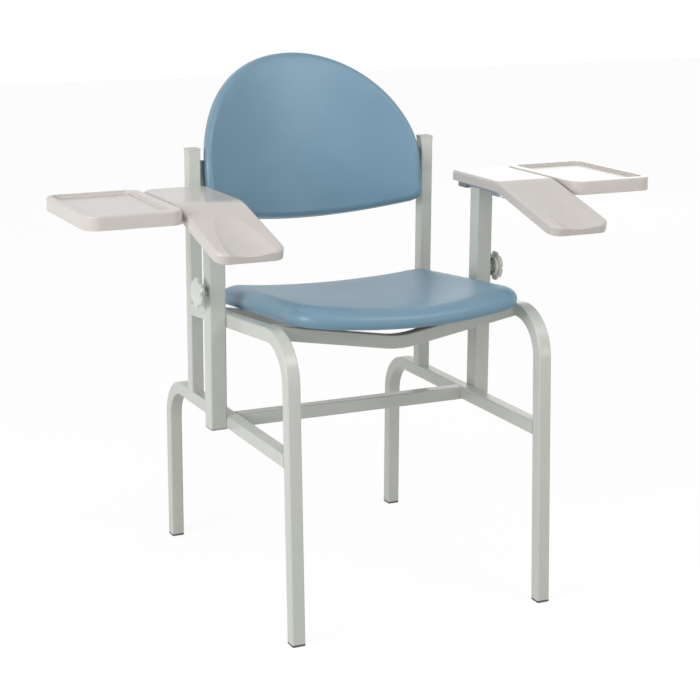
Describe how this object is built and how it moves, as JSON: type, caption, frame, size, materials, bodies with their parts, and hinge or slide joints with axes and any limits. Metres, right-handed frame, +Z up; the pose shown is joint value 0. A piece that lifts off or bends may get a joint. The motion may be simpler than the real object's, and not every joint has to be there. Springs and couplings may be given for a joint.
{
  "type": "phlebotomy chair",
  "caption": "Blood-draw chair: welded square-tube frame, dished seat, curved back, and arms that slide up and down with sloping armrests and side trays.",
  "frame": {"origin": "on the floor, under the middle of the footprint", "axes": "+Z up, the sitter faces -Y, so the sitter's left is +X"},
  "size_m": [0.992, 0.566, 0.8635],
  "materials": {
    "frame_paint": "satin",
    "shell_plastic": "gloss",
    "knob_plastic": "gloss",
    "foot_plastic": "matte",
    "cap_plastic": "satin",
    "vinyl": "satin",
    "plywood": "satin",
    "steel": "brushed"
  },
  "bodies": {
    "root": {"left_front_leg": "frame_paint", "right_front_leg": "frame_paint", "left_rear_leg": "frame_paint", "right_rear_leg": "frame_paint", "left_upright": "frame_paint", "right_upright": "frame_paint", "cross_bar": "frame_paint", "front_bow": "frame_paint", "rear_bow": "frame_paint", "left_sleeve": "frame_paint", "right_sleeve": "frame_paint", "left_back_strap": "frame_paint", "right_back_strap": "frame_paint", "left_clamp_nut": "frame_paint", "right_clamp_nut": "frame_paint", "left_front_foot": "foot_plastic", "right_front_foot": "foot_plastic", "left_rear_foot": "foot_plastic", "right_rear_foot": "foot_plastic", "left_sleeve_plug": "foot_plastic", "right_sleeve_plug": "foot_plastic", "seat_spacers": "foot_plastic", "left_upright_cap": "cap_plastic", "right_upright_cap": "cap_plastic", "seat_cushion": "vinyl", "back_cushion": "vinyl", "seat_board": "plywood", "back_board": "plywood", "seat_bolts": "steel", "seat_tee_nuts": "steel", "back_screws": "steel"},
    "left_arm": {"left_arm_tube": "frame_paint", "left_tube_plug": "foot_plastic", "left_arm_bracket": "frame_paint", "left_tray_support": "frame_paint", "left_armrest": "shell_plastic", "left_tray": "shell_plastic", "left_armrest_screws": "steel", "left_tray_screws": "steel"},
    "left_knob": {"left_clamp_knob": "knob_plastic", "left_clamp_stud": "steel"},
    "right_arm": {"right_arm_tube": "frame_paint", "right_tube_plug": "foot_plastic", "right_arm_bracket": "frame_paint", "right_tray_support": "frame_paint", "right_armrest": "shell_plastic", "right_tray": "shell_plastic", "right_armrest_screws": "steel", "right_tray_screws": "steel"},
    "right_knob": {"right_clamp_knob": "knob_plastic", "right_clamp_stud": "steel"}
  },
  "joints": [
    {"name": "left_arm_height", "type": "slide", "parent": "root", "child": "left_arm", "axis": [0, 0, 1], "range_m": [0, 0.15]},
    {"name": "left_knob_turn", "type": "hinge", "parent": "root", "child": "left_knob", "pos_m": [0.2581, -0.005, 0.508], "axis": [1, 0, 0], "range_deg": [0, 360]},
    {"name": "right_arm_height", "type": "slide", "parent": "root", "child": "right_arm", "axis": [0, 0, 1], "range_m": [0, 0.15]},
    {"name": "right_knob_turn", "type": "hinge", "parent": "root", "child": "right_knob", "pos_m": [-0.2581, -0.005, 0.508], "axis": [-1, 0, 0], "range_deg": [0, 360]}
  ]
}
